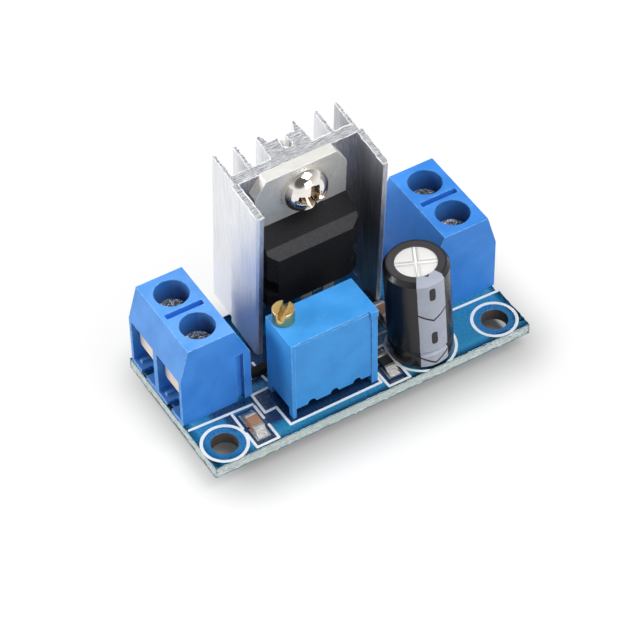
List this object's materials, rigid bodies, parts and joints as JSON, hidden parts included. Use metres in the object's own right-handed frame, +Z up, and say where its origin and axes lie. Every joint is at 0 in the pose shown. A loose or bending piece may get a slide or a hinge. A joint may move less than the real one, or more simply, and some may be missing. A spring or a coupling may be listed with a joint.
{
  "type": "adjustable voltage regulator module",
  "caption": "Small step-down supply board with a tab-mounted regulator on a finned heatsink, a screw-adjusted trimmer, a capacitor and screw terminals for input and output.",
  "frame": {"origin": "midway between the two mounting holes, on the underside of the board", "axes": "+X along the board's long edge, towards the terminal block beside the capacitor; the edge with the mounting holes faces -Y; +Z up, out of the board's parts side"},
  "size_m": [0.0359, 0.0195, 0.0248],
  "materials": {
    "solder_mask": "blue solder mask over glass cloth",
    "tinned_pad": "tinned copper",
    "solder": "bright solder",
    "extruded_aluminium": "fine lines along the extrusion",
    "bright_screw": "nickel plated steel",
    "tinned_copper": "dull tin",
    "black_moulding": "fine moulded grain",
    "silicon": "polished",
    "can_aluminium": "drawn, bright",
    "black_sleeve": "shrunk sleeve with a pale stripe",
    "bung_rubber": "smooth",
    "wound_foil": "wound paper and foil",
    "terminal_plastic": "bright blue, fine grain",
    "trimmer_plastic": "blue, fine grain",
    "element_ceramic": "pale ceramic with a dark track",
    "brass_screw": "turned brass",
    "carriage_plastic": "plain",
    "contact_bronze": "plain",
    "chip_ceramic": "brown ceramic",
    "chip_ends": "tinned",
    "resistor_glaze": "black glaze",
    "clamp_steel": "dull tin",
    "guard_steel": "dull warm tin"
  },
  "bodies": {
    "module": {"board": "solder_mask", "capacitor_bung": "bung_rubber", "capacitor_can": "can_aluminium", "capacitor_negative_lead": "tinned_copper", "capacitor_positive_lead": "tinned_copper", "capacitor_sleeve": "black_sleeve", "capacitor_winding": "wound_foil", "chip_pads": "tinned_pad", "chip_resistor_body": "resistor_glaze", "chip_resistor_ends": "chip_ends", "chip_solder": "solder", "diode_body": "black_moulding", "diode_leads": "tinned_copper", "heatsink": "extruded_aluminium", "heatsink_screw": "bright_screw", "input_chip_capacitor_body": "chip_ceramic", "input_chip_capacitor_ends": "chip_ends", "left_back_clamp_cage": "clamp_steel", "left_front_clamp_cage": "clamp_steel", "left_terminal_housing": "terminal_plastic", "pin_solder": "solder", "plated_holes": "tinned_pad", "regulator_body": "black_moulding", "regulator_die": "silicon", "regulator_leadframe": "tinned_copper", "regulator_left_lead": "tinned_copper", "regulator_right_lead": "tinned_copper", "right_back_clamp_cage": "clamp_steel", "right_front_clamp_cage": "clamp_steel", "right_terminal_housing": "terminal_plastic", "second_chip_capacitor_body": "chip_ceramic", "second_chip_capacitor_ends": "chip_ends", "trimmer_base": "trimmer_plastic", "trimmer_cover": "trimmer_plastic", "trimmer_element": "element_ceramic", "trimmer_housing": "trimmer_plastic", "trimmer_pins": "tinned_copper", "trimmer_seal": "bung_rubber"},
    "left_front_guard": {"left_front_wire_guard": "guard_steel"},
    "left_front_screw": {"left_front_terminal_screw": "bright_screw"},
    "left_back_guard": {"left_back_wire_guard": "guard_steel"},
    "left_back_screw": {"left_back_terminal_screw": "bright_screw"},
    "right_front_guard": {"right_front_wire_guard": "guard_steel"},
    "right_front_screw": {"right_front_terminal_screw": "bright_screw"},
    "right_back_guard": {"right_back_wire_guard": "guard_steel"},
    "right_back_screw": {"right_back_terminal_screw": "bright_screw"},
    "adjuster": {"adjusting_screw": "brass_screw"},
    "wiper": {"wiper_carriage": "carriage_plastic", "wiper_contact": "contact_bronze"}
  },
  "joints": [
    {"name": "left_front_guard_travel", "type": "slide", "parent": "module", "child": "left_front_guard", "axis": [0, 0, -1], "range_m": [-0.00045, 0.00135]},
    {"name": "left_front_screw_turn", "type": "hinge", "parent": "left_front_guard", "child": "left_front_screw", "pos_m": [-0.01415, 0.00653, 0.0085], "axis": [0, 0, -1], "range_deg": [-360, 1080]},
    {"name": "left_back_guard_travel", "type": "slide", "parent": "module", "child": "left_back_guard", "axis": [0, 0, -1], "range_m": [-0.00045, 0.00135]},
    {"name": "left_back_screw_turn", "type": "hinge", "parent": "left_back_guard", "child": "left_back_screw", "pos_m": [-0.01415, 0.01153, 0.0085], "axis": [0, 0, -1], "range_deg": [-360, 1080]},
    {"name": "right_front_guard_travel", "type": "slide", "parent": "module", "child": "right_front_guard", "axis": [0, 0, -1], "range_m": [-0.00045, 0.00135]},
    {"name": "right_front_screw_turn", "type": "hinge", "parent": "right_front_guard", "child": "right_front_screw", "pos_m": [0.01445, 0.00653, 0.0085], "axis": [0, 0, -1], "range_deg": [-360, 1080]},
    {"name": "right_back_guard_travel", "type": "slide", "parent": "module", "child": "right_back_guard", "axis": [0, 0, -1], "range_m": [-0.00045, 0.00135]},
    {"name": "right_back_screw_turn", "type": "hinge", "parent": "right_back_guard", "child": "right_back_screw", "pos_m": [0.01445, 0.01153, 0.0085], "axis": [0, 0, -1], "range_deg": [-360, 1080]},
    {"name": "adjuster_turn", "type": "hinge", "parent": "module", "child": "adjuster", "pos_m": [-0.00696, 0.00274, 0.0124], "axis": [0, 0, -1], "range_deg": [-4500, 4500]},
    {"name": "wiper_travel", "type": "slide", "parent": "module", "child": "wiper", "axis": [0, 0, 1], "range_m": [-0.0025, 0.0025]}
  ],
  "couplings": [
    {"joint": "left_front_screw_turn", "follows": "left_front_guard_travel", "rad_per_m": 13962},
    {"joint": "left_back_screw_turn", "follows": "left_back_guard_travel", "rad_per_m": 13962},
    {"joint": "right_front_screw_turn", "follows": "right_front_guard_travel", "rad_per_m": 13962},
    {"joint": "right_back_screw_turn", "follows": "right_back_guard_travel", "rad_per_m": 13962},
    {"joint": "adjuster_turn", "follows": "wiper_travel", "rad_per_m": 31415}
  ]
}
